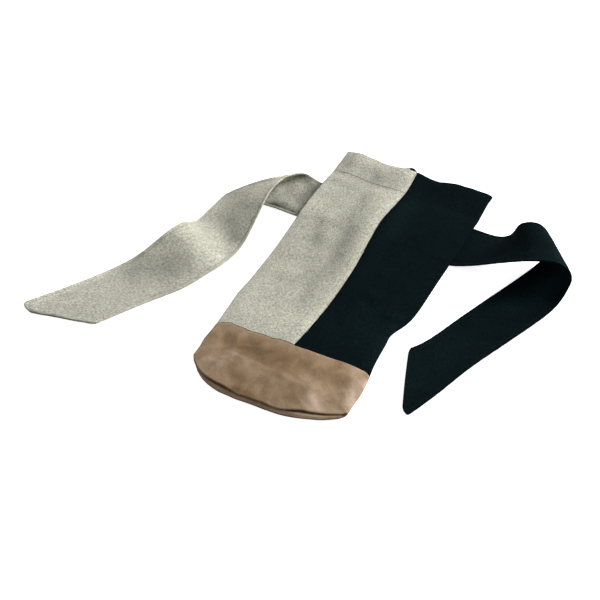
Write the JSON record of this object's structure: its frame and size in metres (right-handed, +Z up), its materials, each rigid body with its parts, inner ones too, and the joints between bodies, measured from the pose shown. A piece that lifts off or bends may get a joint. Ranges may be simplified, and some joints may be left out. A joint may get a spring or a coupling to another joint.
{
  "type": "wine bottle bag",
  "caption": "Soft wine bottle bag: a natural and black linen tube with a suede base band, a fold-in base panel and flat linen ties sewn to the back seam, lying empty.",
  "frame": {"origin": "on the underside of the base band, under the front seam, on the surface the bag lies on", "axes": "+X across the bag to the right as it lies with its mouth away from the viewer, +Y along the bag towards its mouth, +Z up from the surface"},
  "size_m": [0.4323, 0.3375, 0.0452],
  "materials": {
    "natural_linen": "matte heathered plain-weave linen",
    "black_linen": "matte black plain-weave linen",
    "suede": "soft brushed suede with nap marks"
  },
  "bodies": {
    "bag": {"natural_panel": "natural_linen", "black_panel": "black_linen", "base_band": "suede", "base_panel": "suede", "natural_tie_root": "natural_linen", "black_tie_root": "black_linen"},
    "natural_tie_middle": {"natural_tie_middle": "natural_linen"},
    "natural_tie_end": {"natural_tie_end": "natural_linen"},
    "black_tie_middle": {"black_tie_middle": "black_linen"},
    "black_tie_end": {"black_tie_end": "black_linen"}
  },
  "joints": [
    {"name": "natural_tie_lift", "type": "hinge", "parent": "bag", "child": "natural_tie_middle", "pos_m": [-0.08, 0.2215, 0.0013], "axis": [0, 1, 0], "range_deg": [0, 85]},
    {"name": "natural_tie_fold", "type": "hinge", "parent": "natural_tie_middle", "child": "natural_tie_end", "pos_m": [-0.128, 0.2191, 0.0068], "axis": [-0.6386, -0.7695, 0], "range_deg": [0, 165]},
    {"name": "black_tie_lift", "type": "hinge", "parent": "bag", "child": "black_tie_middle", "pos_m": [0.0755, 0.2215, 0.0013], "axis": [0, -1, 0], "range_deg": [0, 85]},
    {"name": "black_tie_fold", "type": "hinge", "parent": "black_tie_middle", "child": "black_tie_end", "pos_m": [0.17653, 0.21287, 0.02192], "axis": [0.5762, -0.8143, 0.0695], "range_deg": [0, 170]}
  ]
}
